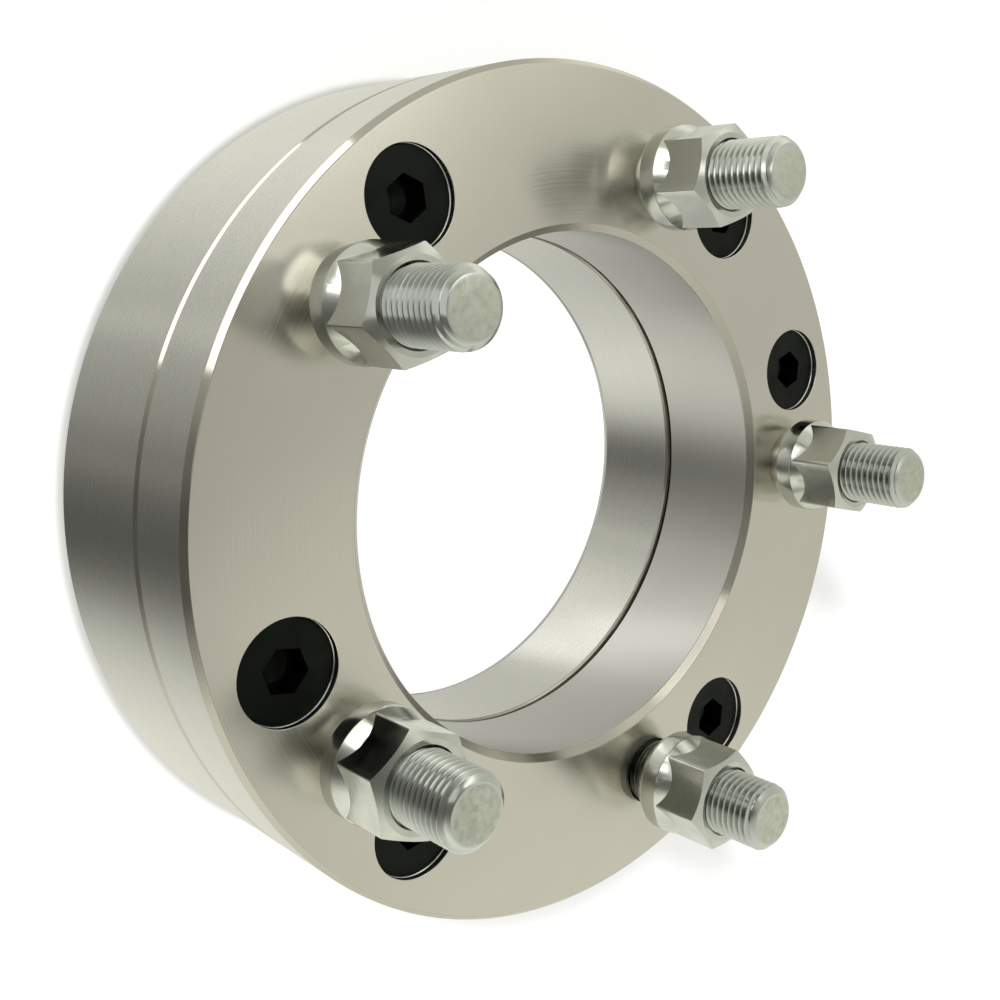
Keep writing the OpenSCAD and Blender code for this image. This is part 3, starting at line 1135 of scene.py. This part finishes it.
    def world(self) -> None:
        """Surround the object with even light, white to the camera."""
        world = bpy.data.worlds.new("studio")
        world.use_nodes = True
        tree = world.node_tree
        tree.nodes.clear()
        path = add_node(tree, "ShaderNodeLightPath")
        level = ranged(tree, path.outputs["Is Camera Ray"], (0.0, 1.0), (self.sky_level, 1.0))
        sky = add_node(tree, "ShaderNodeBackground", {"Color": to_linear(WHITE), "Strength": level})
        add_node(tree, "ShaderNodeOutputWorld", {"Surface": sky.outputs[0]})
        bpy.context.scene.world = world

    def tent(self) -> None:
        """Put a round tent about the object that only gloss sees: bright walls, a dark gap and a dim top."""
        shape = bmesh.new()
        round_steps, high_steps = self.tent_segments
        bmesh.ops.create_uvsphere(shape, u_segments=round_steps, v_segments=high_steps,
                                  radius=self.tent_r * MM)
        tent = as_piece("tent", shape)
        material, tree = new_material("tent_wall")
        place = add_node(tree, "ShaderNodeTexCoord").outputs["Object"]
        split = add_node(tree, "ShaderNodeSeparateXYZ", {0: place})
        turn = worked_out(tree, "ARCTAN2", split.outputs["Y"], split.outputs["X"])
        round_share = ranged(tree, turn, (-math.pi, math.pi))
        height = worked_out(tree, "DIVIDE", split.outputs["Z"], self.tent_r * MM)
        wall, high_wall, roof = (self.ramp(tree, round_share, levels)
                                 for levels in (self.lower_levels, self.upper_levels, self.roof_levels))
        for next_wall, span in ((high_wall, self.upper_hs), (roof, self.roof_hs)):
            wall = mixed(tree, ranged(tree, height, span, smooth=True), wall, next_wall)
        level = mixed(tree, ranged(tree, height, self.top_hs), wall, self.tinted(self.top_level))
        glow = add_node(tree, "ShaderNodeEmission", {"Color": level, "Strength": self.tent_level})
        add_node(tree, "ShaderNodeOutputMaterial", {"Surface": glow.outputs[0]})
        self.gloss_only(tent, material)

    def strip_lamps(self) -> None:
        """Hang the strips that the chamfers, nuts and bores mirror."""
        colour = to_linear(self.strip_colour)
        for number, (level, corners) in enumerate(self.strips, start=1):
            shape = bmesh.new()
            shape.faces.new([shape.verts.new(Vector(corner) * MM) for corner in corners])
            material, tree = new_material(f"strip_lamp_cloth_{number}")
            glow = add_node(tree, "ShaderNodeEmission", {"Color": colour, "Strength": level})
            add_node(tree, "ShaderNodeOutputMaterial", {"Surface": glow.outputs[0]})
            self.gloss_only(as_piece(f"strip_lamp_{number}", shape), material)

    def tinted(self, level: float) -> Colour:
        """The tent's colour at a share of its level."""
        red, green, blue, _ = to_linear(self.tent_colour)
        return (level * red, level * green, level * blue, 1.0)

    @staticmethod
    def gloss_only(piece: Piece, material: bpy.types.Material) -> None:
        """Give a part of the studio its material and show it to glossy rays alone.

        Args:
            piece: The part of the studio.
            material: Its material, which doesn't count as a lamp.
        """
        material.cycles.emission_sampling = "NONE"
        piece.data.materials.append(material)
        for kind in ("camera", "diffuse", "transmission", "volume_scatter", "shadow"):
            setattr(piece, f"visible_{kind}", False)

    def ramp(self, tree: Tree, place: Socket, levels: Levels) -> Socket:
        """Add a ramp of levels of the tent's colour round the tent.

        Args:
            tree: The node tree to add to.
            place: Where round the tent, from 0 at -180 degrees to 1 at 180.
            levels: Pairs of an azimuth and a level.

        Returns:
            The socket of the colour.
        """
        node = add_node(tree, "ShaderNodeValToRGB", {0: place})
        steps = node.color_ramp.elements
        while len(steps) < len(levels):
            steps.new(0.5)
        for step, (azimuth, level) in zip(steps, levels):
            step.position = (azimuth + 180) / 360
            step.color = self.tinted(level)
        return node.outputs[0]

    def lamp(self, name: str, at: Triple, size: float, power: float) -> None:
        """Hang one soft square lamp that faces the object.

        Args:
            name: The lamp's name.
            at: Its place in millimetres.
            size: Its width in millimetres.
            power: Its power in watts.
        """
        data = bpy.data.lights.new(name, "AREA")
        data.size = size * MM
        data.energy = power
        lamp = bpy.data.objects.new(name, data)
        lamp.location = Vector(at) * MM
        lamp.rotation_euler = (-Vector(at)).to_track_quat("-Z", "Y").to_euler()
        lamp.visible_glossy = False
        bpy.context.scene.collection.objects.link(lamp)

    def build(self) -> None:
        """Set up the studio."""
        self.camera()
        self.floor()
        self.tent()
        self.strip_lamps()
        self.world()
        for lamp in self.lamps:
            self.lamp(*lamp)
        bpy.context.scene.view_settings.view_transform = "Standard"


def main() -> None:
    """Build the spacer and its studio, and log its layout and face counts."""
    logging.basicConfig(level=logging.INFO, format="%(name)s: %(message)s")
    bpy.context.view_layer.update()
    layout = Layout.read()
    LOG.info("layout %s", layout)
    Plates(layout).build()
    StudsAndNuts(layout).build()
    Screws(layout).build()
    Studio().build()


if __name__ == "__main__":
    main()
